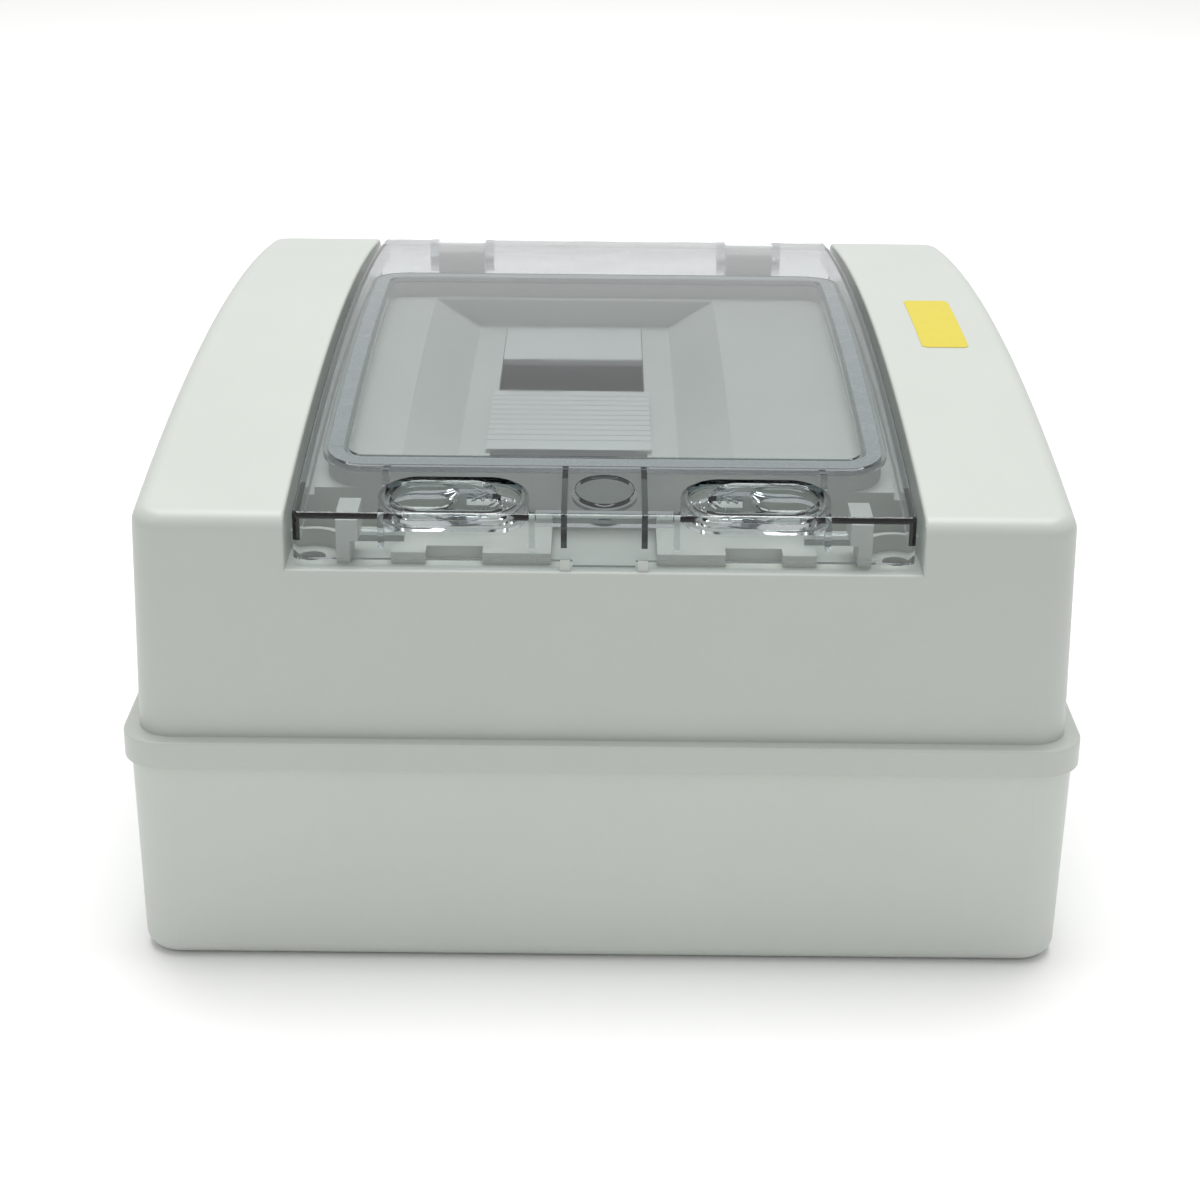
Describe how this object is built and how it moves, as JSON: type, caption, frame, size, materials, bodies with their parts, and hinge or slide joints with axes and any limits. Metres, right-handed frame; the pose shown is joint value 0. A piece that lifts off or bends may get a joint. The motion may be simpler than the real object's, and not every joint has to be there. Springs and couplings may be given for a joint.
{
  "type": "distribution enclosure",
  "caption": "Surface-mount fuse box with a screwed cover, a smoky arched door on hinge pins, pinch latches, a module slot, a rail and terminal bars.",
  "frame": {"origin": "centre of the box's footprint, on its flat back", "axes": "+Z out of the wall, +X the box's upward direction on the wall, the door opens from the -Y side about a hinge at +Y"},
  "size_m": [0.26, 0.3, 0.1426],
  "materials": {
    "base_plastic": "fine moulded grain",
    "cover_plastic": "fine moulded grain",
    "strip_plastic": "smooth",
    "smoky_clear": "polished clear smoky plastic",
    "clear_plastic": "polished clear plastic",
    "seal_foam": "soft foam",
    "pale_foam": "soft pale foam",
    "zinc_steel": "zinc plated",
    "brass": "machined",
    "spring_steel": "bright wire",
    "label": "bare coated sticker",
    "holder_neutral": "smooth",
    "holder_earth": "smooth"
  },
  "bodies": {
    "enclosure": {"base": "base_plastic", "cover_gasket": "seal_foam", "front_cover": "cover_plastic", "blanking_strip_far": "strip_plastic", "blanking_strip_near": "strip_plastic", "cover_screws": "zinc_steel", "screw_inserts": "brass", "din_rail": "zinc_steel", "rail_bracket_near": "zinc_steel", "rail_bracket_far": "zinc_steel", "rail_screws": "zinc_steel", "bracket_screws": "zinc_steel", "neutral_bar": "brass", "neutral_bar_holder": "holder_neutral", "neutral_bar_screws": "zinc_steel", "earth_bar": "brass", "earth_bar_holder": "holder_earth", "earth_bar_screws": "zinc_steel", "blank_label": "label"},
    "door": {"door": "smoky_clear", "door_seal": "pale_foam", "lock_plug": "smoky_clear", "hinge_pin_upper": "zinc_steel", "hinge_pin_lower": "zinc_steel", "latch_spring_upper": "spring_steel", "latch_spring_lower": "spring_steel"},
    "latch_upper": {"latch_slide_upper": "clear_plastic"},
    "latch_lower": {"latch_slide_lower": "clear_plastic"}
  },
  "joints": [
    {"name": "door_hinge", "type": "hinge", "parent": "enclosure", "child": "door", "pos_m": [0, 0.1395, 0.12302], "axis": [-1, 0, 0], "range_deg": [0, 100]},
    {"name": "latch_upper_slide", "type": "slide", "parent": "door", "child": "latch_upper", "axis": [-1, 0, 0], "range_m": [0, 0.005], "stiffness_N_per_m": 250, "springref_m": -0.004, "deforming": ["latch_spring_upper"]},
    {"name": "latch_lower_slide", "type": "slide", "parent": "door", "child": "latch_lower", "axis": [1, 0, 0], "range_m": [0, 0.005], "stiffness_N_per_m": 250, "springref_m": -0.004, "deforming": ["latch_spring_lower"]}
  ]
}
